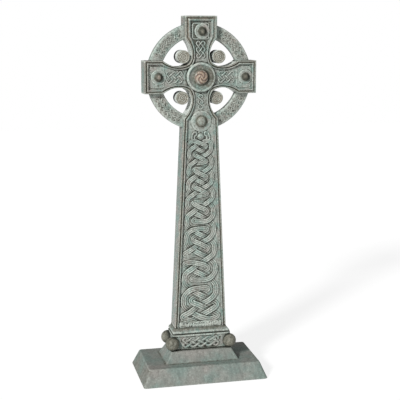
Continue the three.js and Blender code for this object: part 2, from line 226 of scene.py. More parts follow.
def verdigris(name, wash=1.0, cloud=95.0, streak=0.3, bloom=0.9, speckle=1.0, patchy=1.0, light=1.0):
    finish, wire = new_finish(name)

    def carried(label):
        return wire.node("ShaderNodeAttribute", {"attribute_name": label}, {}, "Fac")

    cut, copper, brown, pale = carried("cut"), carried("copper"), carried("brown"), carried("pale")
    shade_and_dirt, crevice_shade_and_dirt, ridge = carried("shade_and_dirt"), carried("crevice_shade_and_dirt"), carried("ridge")
    clouds = wire.noise(cloud, 4)
    patches = wire.noise(cloud * 0.7, 4, seed=4.0)
    mottle = wire.noise(MOTTLE_SCALE, 5, 0.65, seed=9.0)
    specks = wire.noise(SPECK_SCALE, 3, 0.6, seed=12.0)
    streaks = wire.noise(STREAK_SCALE, 4, 0.6, stretch=UPRIGHT_STREAKS, seed=6.0)
    grain = wire.noise(GRAIN_SCALE, 3, 0.6, seed=2.0)

    colour = wire.node("ShaderNodeRGB")
    colour.socket.default_value = GREY_GREEN
    colour = colour.tint(BLUE_GREEN, clouds.between(*BLUE_BAND) * patchy)
    colour = colour.tint(PINK_GREY, patches.between(*PINK_BAND) * 0.8 * patchy)
    colour = colour.tint(BEIGE_BROWN, (brown * (0.55 + mottle * 0.9)).clamped())
    colour = colour.tint(UMBER, (brown * mottle.between(*UMBER_BAND) * 0.75).clamped())
    rubbed = copper * (mottle * 1.5 + patches * 0.4 + 0.05)
    colour = colour.tint(RED_COPPER, rubbed.between(*RED_BAND))
    colour = colour.tint(COPPER, (rubbed * (0.6 + ridge.between(0.0, 0.2))).between(*COPPER_BAND))
    worn = (ridge.between(*RIDGE_BAND) * (mottle.between(*WORN_BAND) * 0.8 + 0.2) * bloom).clamped()
    colour = colour.tint(PALE_BLOOM_AND_HIGHLIGHT, worn * (1 - copper * 0.75))
    # the pale value is a pale bloom, and on the lit side of the rims, the left-facing neck walls and the roll
    # sides it is a painted highlight. There it passes into chalk.
    colour = colour.tint(PALE_BLOOM_AND_HIGHLIGHT, (pale * (mottle * 1.6 - 0.1)).clamped() * 0.8)
    chalk_and_highlight = (pale - CHALK_AND_HIGHLIGHT_FROM).clamped()
    colour = colour.tint(CHALK_AND_HIGHLIGHT, chalk_and_highlight * 0.9)
    colour = colour.tint(PALE_BLOOM_AND_HIGHLIGHT, specks.between(*PALE_SPECKS) * (0.55 * speckle))

    # both washes follow the hollows, as the patina does, and so also paint the shade of every hollow, crease
    # and gap
    hollow_wash_and_shade = shade_and_dirt * 0.85 + crevice_shade_and_dirt * 0.55 + cut * 0.45 + (mottle - 0.5) * 0.9 + (patches - 0.5) * 0.5
    colour = colour.tint(OLIVE_WASH_AND_SHADE, (hollow_wash_and_shade - chalk_and_highlight).between(*OLIVE_BAND) * (0.94 * wash))
    colour = colour.tint(OLIVE_WASH_AND_SHADE, specks.between(*DARK_SPECKS) * (0.75 * speckle))
    deep_wash_and_shade = crevice_shade_and_dirt * 0.8 + cut * 0.5 + shade_and_dirt * 1.0 + (mottle - 0.5) * 0.6
    colour = colour.tint(DARK_WASH_AND_SHADE, (deep_wash_and_shade - chalk_and_highlight).between(*DARK_BAND) * wash)
    pits = grain.between(*PIT_BAND) * mottle.between(0.50, 0.40)
    colour = colour.shade(1 - pits * 0.5)
    colour = colour.shade(light + (streaks - 0.5) * streak * 2 + (grain - 0.5) * 0.5)

    height = mottle * 0.55 + grain * 0.45
    bump = wire.node("ShaderNodeBump", {}, {"Strength": 0.5, "Distance": BUMP_HEIGHT, "Height": height})
    body = wire.node("ShaderNodeBsdfPrincipled", {}, {
        "Base Color": colour,
        "Roughness": mottle * 0.25 + (0.42 + cut * 0.15),
        "Metallic": 0.0,
        "Specular IOR Level": 0.4,
        "Normal": bump,
    })
    wire.node("ShaderNodeOutputMaterial", {}, {"Surface": body})
    return finish


cross_finish = verdigris("verdigris over copper")
plinth_finish = verdigris("soft streaked verdigris", 0.8, 38.0, streak=0.45, bloom=0.3, speckle=0.45,
                          patchy=0.55, light=0.91)
print("finishes made:", [finish.name for finish in bpy.data.materials])

# %% [markdown]
# Every moulding, ribbon and boss is a closed shell of points worked out in millimetres. A Casting
# gathers them, because the real cross came out of its mould in one pour, and makes one mesh of them.
# Short rays from every point then tell how sheltered it is. That is where dirt stays, and where the
# finish paints shade.

# %% Casting
MM = 0.001
PAINTS = ("cut", "copper", "brown", "pale")
SHELTER_REACH = 8.0
CREVICE_REACH = 1.8
SHELTER_RAYS = 16
RAY_START = 0.06
WIDEST_RAY = 0.98
SHARP_ANGLE = 48


class Casting:
    """Closed shells in millimetres. A point's paint value is 0 for none, and past 1 for a thick layer."""

    def __init__(self):
        self.points = []
        self.faces = []
        self.paint = {label: [] for label in PAINTS}
        self.count = 0

    def add(self, points, faces, **paint):
        points = np.asarray(points, float).reshape(-1, 3)
        faces = np.asarray(faces, int)
        if shell_volume(points, faces) < 0:
            faces = faces[:, ::-1]
        self.points.append(points)
        self.faces.extend((faces + self.count).tolist())
        for label in PAINTS:
            value = np.ravel(paint.get(label, 0.0))
            self.paint[label].append(np.broadcast_to(value, len(points)).astype(float))
        self.count += len(points)

    def mesh(self, name, neighbours):
        """One mesh of all the shells. neighbours is the search tree of everything that can shelter it."""
        points = np.concatenate(self.points)
        mesh = bpy.data.meshes.new(name)
        mesh.from_pydata((points * MM).tolist(), [], self.faces)
        mesh.validate()
        mesh.update()
        mesh.shade_smooth()
        mesh.set_sharp_from_angle(angle=math.radians(SHARP_ANGLE))
        normals = np.zeros(len(points) * 3, np.float32)
        mesh.vertices.foreach_get("normal", normals)
        normals = normals.reshape(-1, 3).astype(float)
        values = {label: np.concatenate(parts) for label, parts in self.paint.items()}
        # the blocked sky darkens the washes of the finish, both as dirt and as painted shade
        values["shade_and_dirt"], values["crevice_shade_and_dirt"] = shelter_of(points, normals, neighbours)
        values["ridge"] = ridge_of(mesh, points, normals)
        for label, value in values.items():
            layer = mesh.attributes.new(label, "FLOAT", "POINT")
            layer.data.foreach_set("value", value.astype(np.float32))
        triangles = sum(len(face) - 2 for face in self.faces)
        print(name, "has", len(points), "points and", triangles, "triangles")
        return mesh


def search_tree(castings):
    """Everything that a short ray from a point could meet."""
    points, faces, count = [], [], 0
    for casting in castings:
        points.append(np.concatenate(casting.points))
        faces += [[corner + count for corner in face] for face in casting.faces]
        count += casting.count
    return BVHTree.FromPolygons(np.concatenate(points).tolist(), faces)


def shell_volume(points, faces):
    """Six times the volume inside a shell, which is below zero if its faces point inwards."""
    corners = points[faces]
    first = corners[:, 0]
    total = 0.0
    for i in range(1, faces.shape[1] - 1):
        total += np.einsum("ij,ij->i", first, np.cross(corners[:, i], corners[:, i + 1])).sum()
    return total


def shelter_of(points, normals, tree):
    """How much of the sky is blocked within the long reach and the short one, from 0 to 1."""
    helper = np.where(np.abs(normals[:, 2:3]) < 0.9, [[0, 0, 1.0]], [[1.0, 0, 0]])
    side = np.cross(normals, helper)
    side /= np.maximum(np.linalg.norm(side, axis=1, keepdims=True), 1e-9)
    other = np.cross(normals, side)
    golden = math.pi * (3 - math.sqrt(5))
    starts = (points + normals * RAY_START).tolist()
    shade_and_dirt = np.zeros(len(points))
    crevice_shade_and_dirt = np.zeros(len(points))
    for k in range(SHELTER_RAYS):
        lean = math.sqrt((k + 0.5) / SHELTER_RAYS) * WIDEST_RAY
        angle = k * golden
        rays = (normals * math.sqrt(1 - lean * lean)
                + side * (lean * math.cos(angle)) + other * (lean * math.sin(angle)))
        for i, (start, ray) in enumerate(zip(starts, rays.tolist())):
            distance = tree.ray_cast(start, ray, SHELTER_REACH)[3]
            if distance is not None:
                shade_and_dirt[i] += 1 - 0.5 * distance / SHELTER_REACH
                crevice_shade_and_dirt[i] += max(0.0, 1 - distance / CREVICE_REACH)
    return shade_and_dirt / SHELTER_RAYS, crevice_shade_and_dirt / SHELTER_RAYS


def ridge_of(mesh, points, normals):
    """How far each point stands proud of the points it is joined to. It is below zero in a valley."""
    ends = np.zeros(len(mesh.edges) * 2, np.int32)
    mesh.edges.foreach_get("vertices", ends)
    rise = np.zeros(len(points))
    joined = np.zeros(len(points))
    for here, there in (ends.reshape(-1, 2).T, ends.reshape(-1, 2)[:, ::-1].T):
        step = points[there] - points[here]
        length = np.maximum(np.linalg.norm(step, axis=1), 1e-6)
        rise += np.bincount(here, -(normals[here] * step).sum(axis=1) / length, len(points))
        joined += np.bincount(here, minlength=len(points))
    return rise / np.maximum(joined, 1)


def skin(rings, around=True, along=False):
    """Faces between rings of equally many points, as an array of four-cornered faces."""
    count, size = rings
    ring = np.arange(count if along else count - 1)[:, None]
    spot = np.arange(size if around else size - 1)[None, :]
    above = (ring + 1) % count
    beside = (spot + 1) % size
    corners = [ring * size + spot, above * size + spot, above * size + beside, ring * size + beside]
    return np.stack(corners, -1).reshape(-1, 4)


print("the casting is ready to be filled")

# %% [markdown]
# The outline of the upright and its head is drawn twice, once at its edge and once where the sunk
# panel starts. Blending the two gives every line of the moulding between them, mitred at the corners.

# %% Outline of the cross
low, high = (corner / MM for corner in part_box("cross"))
HEIGHT = high.z
HALF_DEPTH = 13.0
HEAD_Z = HEIGHT - 74
SHAFT_FOOT_Z = 63.4
SHAFT_FOOT_HALF = 33.6
SHAFT_TAPER = 0.0447
ARMPIT = (14.8, 10.8), (17.3, 12.8)
UPRIGHT_NEAR = (8.3, 4.8), (25, 22)
UPRIGHT_FAR = (10.6, 6.5), (37, 38)
ARM_NEAR = (22.3, 17), (10.8, 7.6)
ARM_FAR = (35.5, 36.5), (10.8, 6.5)
ARM_SHOULDER = (47, 49.5), (20, 14.8)
ARM_CORNER = (high.x, 64.6), (20, 14.8)
TOP_SHOULDER = (20, 12.4), (47, 50)
TOP_CORNER = (20, 12.4), (HEIGHT - HEAD_Z, 67.4)
SHAFT_SHOULDER_Z = (-50, -53)
SHAFT_FRAME = (0, 5.4)
PANEL_FOOT_Z = (SHAFT_FOOT_Z, 64.4)
LOWER_STRETCH = 1.06
# how many steps each length of the outline is divided into
FOOT_STEPS = 12
SHAFT_STEPS = 104
CURVE_STEPS = 15
ARM_STEPS = 9
ARM_END_STEPS = 16
TOP_SIDE_STEPS = 11
TOP_STEPS = 8


def shaft_half(z):
    return SHAFT_FOOT_HALF - SHAFT_TAPER * (z - SHAFT_FOOT_Z)


def straight(start, end, steps):
    share = np.arange(steps)[:, None] / steps
    return np.asarray(start) * (1 - share) + np.asarray(end) * share


def bent(a, b, c, d):
    """A Bezier curve, without its last point."""
    t = np.arange(CURVE_STEPS)[:, None] / CURVE_STEPS
    return (1 - t) ** 3 * a + 3 * (1 - t) ** 2 * t * b + 3 * (1 - t) * t ** 2 * c + t ** 3 * d


def cross_outline(line):
    """The outline as x and z, at the edge of the cross for line 0 or of the sunk panel for line 1."""
    def spot(pair, tall=1.0):
        return np.array((pair[0][line], HEAD_Z + pair[1][line] * tall))

    shoulder_z = HEAD_Z + SHAFT_SHOULDER_Z[line]
    foot_z = PANEL_FOOT_Z[line]
    foot = np.array((shaft_half(foot_z) - SHAFT_FRAME[line], foot_z))
    shoulder = np.array((shaft_half(shoulder_z) - SHAFT_FRAME[line], shoulder_z))
    upper = [spot(UPRIGHT_FAR), spot(UPRIGHT_NEAR), spot(ARMPIT), spot(ARM_NEAR), spot(ARM_FAR)]
    below = np.array((1, -1))
    head = np.array((0, HEAD_Z))

    def flip(point, stretch=1.0):
        return head + (point - head) * below * (1, stretch)

    lower = [flip(spot(UPRIGHT_FAR), LOWER_STRETCH), flip(spot(UPRIGHT_NEAR), LOWER_STRETCH)]
    lower += [flip(point) for point in upper[2:]]
    arm_low, arm_high = flip(spot(ARM_SHOULDER)), spot(ARM_SHOULDER)
    corner_low, corner_high = flip(spot(ARM_CORNER)), spot(ARM_CORNER)
    top = (0, HEAD_Z + TOP_CORNER[1][line])
    right = np.concatenate([
        straight((0, foot_z), foot, FOOT_STEPS),
        straight(foot, shoulder, SHAFT_STEPS),
        bent(shoulder, *lower[:3]),
        bent(*lower[2:], arm_low),
        straight(arm_low, corner_low, ARM_STEPS),
        straight(corner_low, corner_high, ARM_END_STEPS),
        straight(corner_high, arm_high, ARM_STEPS),
        bent(arm_high, *upper[:1:-1]),
        bent(*upper[2::-1], spot(TOP_SHOULDER)),
        straight(spot(TOP_SHOULDER), spot(TOP_CORNER), TOP_SIDE_STEPS),
        straight(spot(TOP_CORNER), top, TOP_STEPS),
    ])
    return np.concatenate([right, [top], right[:0:-1] * (-1, 1)])


edge_line = cross_outline(0)
panel_line = cross_outline(1)
print("the outline has", len(edge_line), "points")

# %% [markdown]
# The front of the cross has a round outer roll, a deep groove, a flat inner band and then the sunk
# panel. Each line of this profile is given as how far in it lies, from 0 at the edge to 1 at the
# panel, and how deep below the face. The floor of the panel is filled with a triangle net fine enough
# to carry the patina, which Blender's Delaunay triangulation makes inside any outline. The lines that
# face left or up are painted darker and browner. That is brown dirt, together with a painted shadow
# that the outer roll throws into the groove from the lamp on the left. The top faces are painted
# darker and browner too. The floor under the knot gets a dark wash that is also painted shade, and
# near the head the side walls that face left carry a chalky painted highlight.

# %% Body of the cross
PANEL_DEPTH = 3.1
PANEL_FLOOR = PANEL_DEPTH - HALF_DEPTH
BACK_PANEL_DEPTH = 1.8
# how far in, depth below the face, cut, brown
FRONT_MOULDING = [
    (1, 3.1, 0.3, 0), (0.96, 2.5, 0.3, 0), (0.91, 1.2, 0.1, 0), (0.86, 0.55, 0, 0),
    (0.8, 0.22, 0, 0), (0.74, 0.15, 0, 0), (0.68, 0.22, 0, 0.1), (0.62, 0.5, 0.1, 0.3),
    (0.57, 1, 0.3, 0.9), (0.51, 1.55, 0.5, 1.3), (0.45, 1.85, 0.6, 1.5), (0.39, 1.75, 0.6, 1.5),
    (0.34, 1.2, 0.4, 1.4), (0.29, 0.5, 0.1, 1), (0.23, 0.1, 0, 0.5), (0.17, 0, 0, 0.4),
    (0.1, 0.12, 0, 0.5), (0.05, 0.4, 0, 0.6), (0.015, 0.8, 0, 0.6), (0, 1.3, 0, 0.4),
]
SIDE_DEPTHS = [-10, -7, -3.5, 0, 3.5, 7, 10]
BACK_MOULDING = [
    (0, 0.7), (0.02, 0.25), (0.09, 0), (0.45, 0), (0.8, 0.02), (0.9, 0.4), (1, 1.8),
]
SHAFT_GROUND_PALE = 0.5
HEAD_GROUND_PALE = 0.3
KNOT_MARGIN = 14
KNOT_VOID_WASH_AND_SHADE = 0.5
# across from the middle, up from the middle of the head, half width, half height, strength
STAINS = [(0, 52, 17, 25, 1.4), (0, 0, 27, 24, 0.5), (0, -28, 9, 11, 0.65), (62, 4, 12, 15, 0.35)]
STAIN_FADE = 1.6
FRONT_NET = 1.6
BACK_NET = 4.0
# how far apart the rows of a net lie, and how far it keeps from the outline, as shares of its spacing
NET_ROW = 0.866
NET_MARGIN = 0.6
NECK_REACH = 50
NECK_HIGHLIGHT = 1.85
TOP_FACE_CUT = 1.7
TOP_FACE_BROWN = 1.2
TOP_FACE_FROM = 0.6
TOP_FACE_BAND = 0.3
UPWARD_SHARE = 0.75
LEAST_CUT = 0.35
LEAST_BROWN = 0.25


def inside(outline, points, margin):
    """The points that lie inside a closed outline and at least a margin away from its corners."""
    x, z = points[:, 0:1], points[:, 1:2]
    a, b = outline, np.roll(outline, -1, axis=0)
    spans = (a[:, 1] > z) != (b[:, 1] > z)
    slope = (b[:, 0] - a[:, 0]) / np.where(b[:, 1] == a[:, 1], 1, b[:, 1] - a[:, 1])
    crossings = spans & (x < a[:, 0] + (z - a[:, 1]) * slope)
    clear = np.hypot(x - a[:, 0], z - a[:, 1]).min(axis=1) > margin
    return points[(crossings.sum(axis=1) % 2 == 1) & clear]


def net(outline, spacing):
    """Points and triangles that fill an outline. The outline's own points come first, in their order."""
    lowest, highest = outline.min(0), outline.max(0)
    rows = np.arange(lowest[1], highest[1], spacing * NET_ROW)
    columns = np.arange(lowest[0], highest[0], spacing)
    grid = np.array([(x + spacing / 2 * (i % 2), z) for i, z in enumerate(rows) for x in columns])
    points = np.concatenate([outline, inside(outline, grid, spacing * NET_MARGIN)])
    made = delaunay_2d_cdt([Vector(point) for point in points], [], [list(range(len(outline)))], 1, 1e-6)
    return np.array(made[0]), np.array([face for face in made[2] if len(face) == 3])


def moulding_ring(far_in, y):
    ring = edge_line * (1 - far_in) + panel_line * far_in
    return np.column_stack([ring[:, 0], np.full(len(ring), y), ring[:, 1]])


def outward_of(outline):
    """The direction away from a closed outline at each of its points, as x and z."""
    along = np.roll(outline, -1, axis=0) - np.roll(outline, 1, axis=0)
    return np.column_stack([along[:, 1], -along[:, 0]]) / np.linalg.norm(along, axis=1, keepdims=True)


def cross_body(cast):
    rings = [moulding_ring(far_in, depth - HALF_DEPTH) for far_in, depth, _, _ in FRONT_MOULDING]
    rings += [moulding_ring(0, y) for y in SIDE_DEPTHS]
    rings += [moulding_ring(far_in, HALF_DEPTH - depth) for far_in, depth in BACK_MOULDING]
    size = len(edge_line)
    plain = len(rings) - len(FRONT_MOULDING)
    outward = outward_of(edge_line)
    # lines facing left or up get more dark wash and brown: brown dirt, and a painted shadow of the outer roll
    # from the lamp on the left
    facing = np.clip(np.maximum(-outward[:, 0], UPWARD_SHARE * outward[:, 1]), 0, 1)
    top = np.clip((outward[:, 1] - TOP_FACE_FROM) / TOP_FACE_BAND, 0, 1)
    cut = np.outer([row[2] for row in FRONT_MOULDING], LEAST_CUT + (1 - LEAST_CUT) * facing)
    cut = np.concatenate([cut.ravel(), np.tile(top * TOP_FACE_CUT, plain)])
    brown = np.outer([row[3] for row in FRONT_MOULDING], LEAST_BROWN + (1 - LEAST_BROWN) * facing)
    brown = np.concatenate([brown.ravel(), np.tile(top * TOP_FACE_BROWN, plain)])
    # a chalky painted highlight on the side walls near the head that face the lamp on the left
    neck = (np.hypot(edge_line[:, 0], edge_line[:, 1] - HEAD_Z) < NECK_REACH) & (outward[:, 0] < 0)
    pale = np.concatenate([np.zeros(len(FRONT_MOULDING) * size), np.tile(neck * NECK_HIGHLIGHT, plain)])
    walls = skin((len(rings), size))
    points = np.concatenate(rings)
    triangles = np.concatenate([walls[:, [0, 1, 2]], walls[:, [0, 2, 3]]])

    flat, faces = net(panel_line, FRONT_NET)
    floor = flat[size:]
    front_floor = np.column_stack([floor[:, 0], np.full(len(floor), PANEL_FLOOR), floor[:, 1]])
    front = np.where(faces < size, faces, faces - size + len(points))
    back_flat, back_faces = net(panel_line, BACK_NET)
    back = back_flat[size:]
    back_y = np.full(len(back), HALF_DEPTH - BACK_PANEL_DEPTH)
    back_floor = np.column_stack([back[:, 0], back_y, back[:, 1]])
    last = (len(rings) - 1) * size
    start = len(points) + len(front_floor)
    behind = np.where(back_faces < size, back_faces + last, back_faces - size + start)

    triangles = np.concatenate([triangles, front, behind[:, ::-1]])
    clean_back = np.zeros(len(back_floor))
    on_shaft = floor[:, 1] < HEAD_Z - NECK_REACH
    between = on_shaft & (np.abs(floor[:, 0]) < shaft_half(floor[:, 1]) - KNOT_MARGIN)
    ground = np.where(on_shaft & ~between, SHAFT_GROUND_PALE, HEAD_GROUND_PALE)
    # the floor under the knot gets a dark wash that also paints the shade of its voids
    stain = floor_stain(floor) + KNOT_VOID_WASH_AND_SHADE * between
    cast.add(np.concatenate([points, front_floor, back_floor]), triangles,
             cut=np.concatenate([cut, stain, clean_back]),
             brown=np.concatenate([brown, 0 * stain, clean_back]),
             pale=np.concatenate([pale, ground, clean_back]))


def floor_stain(spots):
    """Wash that has pooled on the floor of the panel, one oval pool for each line of STAINS."""
    stain = np.zeros(len(spots))
    for x, z, half_x, half_z, strength in STAINS:
        away = np.hypot((spots[:, 0] - x) / half_x, (spots[:, 1] - HEAD_Z - z) / half_z)
        stain = np.maximum(stain, strength * np.clip(STAIN_FADE - away, 0, 1))
    return stain


cast = Casting()
cross_body(cast)
print("the body has", cast.count, "points")

# %% [markdown]
# Knotwork is drawn on a lattice of columns and rows, as masons draw it. Strands run diagonally and
# cross where the column plus the row is odd. They turn back at the edge of the panel, and they turn
# early where the mason breaks a crossing: sideways at an upright break, up or down at a flat one.

# %% Plait lattice
SIDE_TURN = 0.2
LONG_TURN = 0.36
LONG_MIDDLE = 0.24
INNER_TURN = 0.1
FLAT_TURN = 0.75
END_TURN = 0.42


def next_spot(c, r, dc, dr, columns, rows, break_at):
    """Where a strand passes a lattice point, as column, row and height, and its new direction."""
    def in_from(value, turn, last):
        return turn if value == 0 else last - turn

    def upright(column, row):
        return 0 < row < rows and break_at(column, row) == "upright"

    if c in (0, columns):
        inner = 1 if c == 0 else columns - 1
        long = upright(inner, r - 1) or upright(inner, r + 1)
        return (in_from(c, LONG_TURN if long else SIDE_TURN, columns), r, 0.5), -dc, dr
    if r in (0, rows):
        return (c, in_from(r, END_TURN, rows), 0.5), dc, -dr
    kind = break_at(c, r)
    if kind == "flat":
        return (c, r - dr * FLAT_TURN, 0.5), dc, -dr
    if kind == "upright":
        outer = (c == 1 and dc > 0) or (c == columns - 1 and dc < 0)
        column = in_from(0 if c == 1 else columns, LONG_MIDDLE, columns) if outer else c - dc * INNER_TURN
        return (column, r, 0.5), -dc, dr
    over = (dc == dr) == (c % 2 == 1)
    return (c, r, 1.0 if over else 0.0), dc, dr


def plait_strands(columns, rows, break_at=lambda c, r: "none"):
    """Closed strands, each an array of column, row and height from 0, under, to 1, over."""
    seen = set()
    strands = []
    starts = [(c, r, dc) for c in range(columns + 1) for r in range(rows) for dc in (1, -1)
              if (c + r) % 2 == 1 and 0 <= c + dc <= columns]
    for c, r, dc in starts:
        dr = 1
        strand = []
        while (c, r, dc, dr) not in seen:
            seen.update([(c, r, dc, dr), (c + dc, r + dr, -dc, -dr)])
            c, r = c + dc, r + dr
            spot, dc, dr = next_spot(c, r, dc, dr, columns, rows, break_at)
            strand.append(spot)
        if len(strand) > 2:
            strands.append(np.array(strand, float))
    return strands


print("a plain plait of 4 by 10 has", len(plait_strands(4, 10)), "strands")

# %% [markdown]
# A strand of the plait is carved as a ribbon. Its middle line is a smooth closed curve through the
# lattice points, and its section is carried along it: three round cords with two cut lines between
# them on the shaft, one round cord in the smaller plaits. Where a turn is tighter than the ribbon is
# wide, the inner side is held back so that its lines meet in a point instead of crossing. The section
# of three cords is drawn for a half width of WIDE_SECTION_HALF and deepens as the ribbon widens.

# %% Ribbons
# across from -1 to 1, depth below the top in millimetres, cut; at the two edges the cut is a dark wash
# that also paints the shade round the ribbon
THREE_CORDS = [
    (-0.99, 2.6, 1.5), (-0.96, 1.2, 1.1), (-0.88, 0.3, 0), (-0.72, 0.05, 0), (-0.56, 0.16, 0),
    (-0.45, 0.5, 0.4), (-0.36, 0.78, 0.9), (-0.27, 0.5, 0.4), (-0.15, 0.12, 0), (0, 0, 0),
    (0.15, 0.12, 0), (0.27, 0.5, 0.4), (0.36, 0.78, 0.9), (0.45, 0.5, 0.4), (0.56, 0.16, 0),
    (0.72, 0.05, 0), (0.88, 0.3, 0), (0.96, 1.2, 1.1), (0.99, 2.6, 1.5),
]
ONE_CORD = [
    (-0.98, 1, 0.9), (-0.8, 0.45, 0.4), (-0.45, 0.1, 0), (0, 0, 0), (0.45, 0.1, 0),
    (0.8, 0.45, 0.4), (0.98, 1, 0.9),
]
WIDE_SECTION_HALF = 4.0
RIBBON_FOOT = 0.4
TIGHTEST_TURN = 0.93
UNDER_SHADOW = 1.6
UNDER_FROM = 0.6
OVER_GAIN = 1.6
PALE_DEPTH = 0.5


def smooth_closed(points, steps):
    """A centripetal curve through closed points, with its directions, at a number of steps a span."""
    before, here, there, beyond = (np.roll(points, shift, axis=0) for shift in (1, 0, -1, -2))

    def gap(a, b):
        return np.maximum(np.linalg.norm(b - a, axis=1, keepdims=True), 1e-6) ** 0.5

    g0, g1, g2 = gap(before, here), gap(here, there), gap(there, beyond)
    leave = ((here - before) / g0 - (there - before) / (g0 + g1) + (there - here) / g1) * g1
    reach = ((there - here) / g1 - (beyond - here) / (g1 + g2) + (beyond - there) / g2) * g1
    t = (np.arange(steps) / steps)[None, :, None]
    a, b, c, d = here[:, None], leave[:, None], there[:, None], reach[:, None]
    curve = ((2 * t ** 3 - 3 * t ** 2 + 1) * a + (t ** 3 - 2 * t ** 2 + t) * b
             + (3 * t ** 2 - 2 * t ** 3) * c + (t ** 3 - t ** 2) * d)
    curve = curve.reshape(-1, 3)
    along = np.roll(curve, -1, axis=0) - np.roll(curve, 1, axis=0)
    return curve, along


def turn_radius(along):
    """Signed radius of the turn at each point of a closed flat curve, in millimetres."""
    heading = np.unwrap(np.arctan2(along[:, 2], along[:, 0]))
    turned = np.roll(heading, -1) - np.roll(heading, 1)
    turned = (turned + math.pi) % (2 * math.pi) - math.pi
    length = np.linalg.norm(along[:, [0, 2]], axis=1)
    bend = turned / np.maximum(length, 1e-6)
    bend = (np.roll(bend, 1) + 2 * bend + np.roll(bend, -1)) / 4
    return 1 / np.where(np.abs(bend) < 1e-4, 1e-4, bend)


def lay_ribbon(cast, spots, half_width, floor_y, rises, steps, section=ONE_CORD, warp=0.0, worn=0.0, **paint):
    """spots holds x, height from 0 to 1 and z of each place that a closed ribbon passes. half_width is a
    number or a function of z, and rises is how far its top stands above floor_y under and over a crossing.
    worn says how pale it has become where it passes over, and how deep the painted shadow is where it
    dives under."""
    curve, along = smooth_closed(spots, steps)
    flat = np.linalg.norm(along[:, [0, 2]], axis=1, keepdims=True)
    across = np.column_stack([along[:, 2], -along[:, 0]]) / np.maximum(flat, 1e-6)
    radius = turn_radius(along)
    half = half_width(curve[:, 2]) if callable(half_width) else np.full(len(curve), half_width)
    raised = np.clip(curve[:, 1], 0, 1)
    top = floor_y - rises[0] - (rises[1] - rises[0]) * raised
    scale = half / WIDE_SECTION_HALF if section is THREE_CORDS else 1
    lines = [(section[0][0], None, 1)] + section + [(section[-1][0], None, 1)]
    points = np.zeros((len(curve), len(lines), 3))
    cut = np.zeros((len(curve), len(lines)))
    if worn:
        handling = worn * np.clip(raised * OVER_GAIN - (OVER_GAIN - 1), 0, 1)[:, None]
        paint["pale"] = handling * [depth is not None and depth < PALE_DEPTH for _, depth, _ in lines]
    for k, (share, depth, sunk) in enumerate(lines):
        offset = share * half
        inner = np.sign(offset) == -np.sign(radius)
        held = np.where(inner, np.minimum(np.abs(offset), TIGHTEST_TURN * np.abs(radius)), np.abs(offset))
        offset = np.sign(share) * held
        points[:, k, 0] = curve[:, 0] + across[:, 0] * offset
        points[:, k, 2] = curve[:, 2] + across[:, 1] * offset
        points[:, k, 1] = floor_y + RIBBON_FOOT if depth is None else np.minimum(top + depth * scale, floor_y)
        # the section's own wash, plus a painted shadow where the strand dives under a crossing
        cut[:, k] = sunk + worn * UNDER_SHADOW * np.clip(UNDER_FROM - raised, 0, 1)
    points = points.reshape(-1, 3)
    points += warp * drift(points)
    cast.add(points, skin((len(curve), len(lines)), along=True), cut=cut, **paint)


def drift(points):
    """A slow wander in x and z, as a carver's hand gives."""
    x, z = points[:, 0], points[:, 2]
    wander_x = np.sin(z / 5.3 + 0.9 * np.sin(x / 7.1)) + 0.6 * np.sin(z / 2.9 + x / 4.3)
    wander_z = np.sin(x / 4.7 + 1.1 * np.sin(z / 6.3)) + 0.6 * np.sin(x / 3.1 - z / 5.9)
    return np.column_stack([wander_x, np.zeros(len(points)), wander_z])


print("a ribbon of three cords has", len(THREE_CORDS) + 2, "lines")

# %% [markdown]
# The knot on the shaft is a plait of four columns. The panel narrows as it rises, so every row is a
# little shorter than the last. Long arcs take turns down the two sides, and four flat breaks in the
# middle make the round-shouldered loops.

# %% Knotwork of the shaft
KNOT_FOOT_Z = 70
KNOT_COLUMNS = 4
KNOT_ROWS = 40
KNOT_INSET = 7.4
KNOT_SHIFT = -0.6
ROW_STEP = 0.1455
KNOT_RIBBON_BASE = 0.85
KNOT_RIBBON_SHARE = 0.112
FLAT_BREAKS = (7, 19, 25, 33)
POINTED_ROW = 12
KNOT_STYLE = {"section": THREE_CORDS, "rises": (0.5, 3.3), "steps": 9, "warp": 0.22, "worn": 0.65}


def knot_half(z):
    return shaft_half(z) - KNOT_INSET


def knot_place(strand):
    shrink = 1 - 2 * SHAFT_TAPER * ROW_STEP
    half = knot_half(KNOT_FOOT_Z) * shrink ** strand[:, 1]
    z = SHAFT_FOOT_Z + (knot_half(SHAFT_FOOT_Z) - half) / SHAFT_TAPER
    x = KNOT_SHIFT + (2 * strand[:, 0] / KNOT_COLUMNS - 1) * half
    return np.column_stack([x, strand[:, 2], z])


def knot_ribbon_half(z):
    return KNOT_RIBBON_BASE + KNOT_RIBBON_SHARE * knot_half(z)


def knot_break(c, r):
    if c == 2:
        return "flat" if r in FLAT_BREAKS else "none"
    if c == 1 and r == POINTED_ROW:
        return "flat"
    if c == 1:
        return "upright" if r % 4 == 0 else "none"
    return "upright" if r % 4 == 2 and r > 2 else "none"


def shaft_knot(cast):
    strands = plait_strands(KNOT_COLUMNS, KNOT_ROWS, knot_break)
    for strand in strands:
        lay_ribbon(cast, knot_place(strand), knot_ribbon_half, PANEL_FLOOR, **KNOT_STYLE)
    return strands


print("the knot has", len(shaft_knot(cast)), "closed strands")

# %% [markdown]
# The head carries small plaits too: one in each arm between its boss and the centre, and a long one
# round each quarter of the wheel. Another runs along the front of the die. They are the same lattice,
# laid along an arm, bent round the ring or turned on its side.

